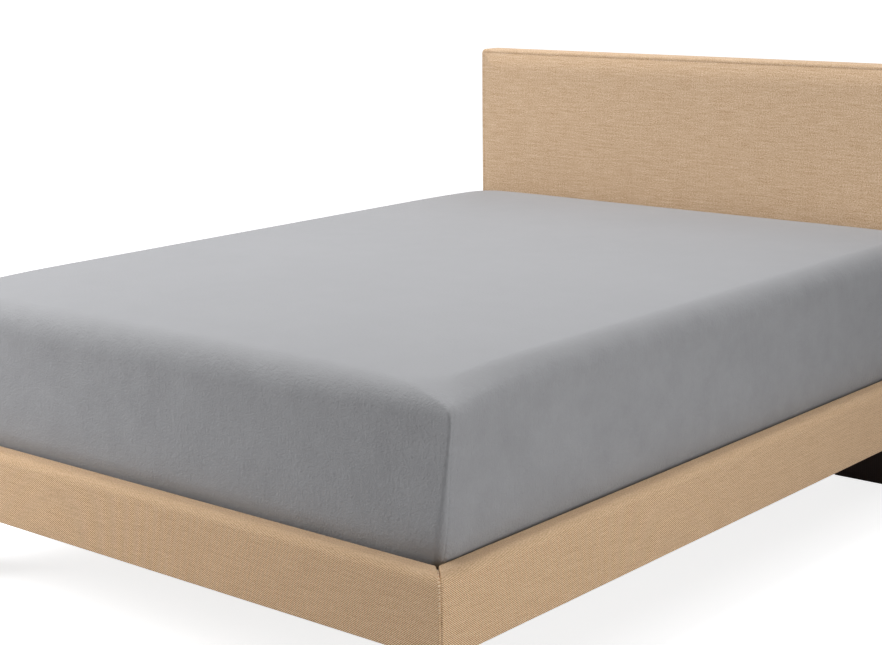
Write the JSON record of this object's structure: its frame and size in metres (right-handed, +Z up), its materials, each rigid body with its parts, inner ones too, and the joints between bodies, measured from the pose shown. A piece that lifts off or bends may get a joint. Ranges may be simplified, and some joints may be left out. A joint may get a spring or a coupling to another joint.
{
  "type": "fitted sheet on a mattress in an upholstered bed",
  "caption": "Brushed grey fitted sheet with corner seams and an elastic hem, stretched over a thick mattress in a low tan upholstered bed with a plain headboard.",
  "frame": {"origin": "on the floor, under the middle of the whole bed", "axes": "+Y from the foot of the bed to the headboard, +X to the right of someone standing at the foot, +Z up"},
  "size_m": [1.634, 2.179, 1.089],
  "materials": {
    "sheet_cloth": "brushed matte grey cloth with a fine nap",
    "mattress_ticking": "matte off-white ticking",
    "bed_upholstery": "matte tan woven upholstery cloth",
    "leg_wood": "very dark brown stained wood, satin",
    "slat_wood": "bare pale timber"
  },
  "bodies": {
    "root": {"fitted_sheet": "sheet_cloth", "mattress": "mattress_ticking", "foot_rail": "bed_upholstery", "side_rail_left": "bed_upholstery", "side_rail_right": "bed_upholstery", "headboard": "bed_upholstery", "leg_foot_left": "leg_wood", "leg_foot_right": "leg_wood", "leg_head_left": "leg_wood", "leg_head_right": "leg_wood", "centre_leg": "leg_wood", "bearer_foot": "slat_wood", "bearer_head": "slat_wood", "centre_beam": "slat_wood", "cleat_left": "slat_wood", "cleat_right": "slat_wood", "slat_01": "slat_wood", "slat_02": "slat_wood", "slat_03": "slat_wood", "slat_04": "slat_wood", "slat_05": "slat_wood", "slat_06": "slat_wood", "slat_07": "slat_wood", "slat_08": "slat_wood", "slat_09": "slat_wood", "slat_10": "slat_wood", "slat_11": "slat_wood", "slat_12": "slat_wood"}
  },
  "joints": []
}
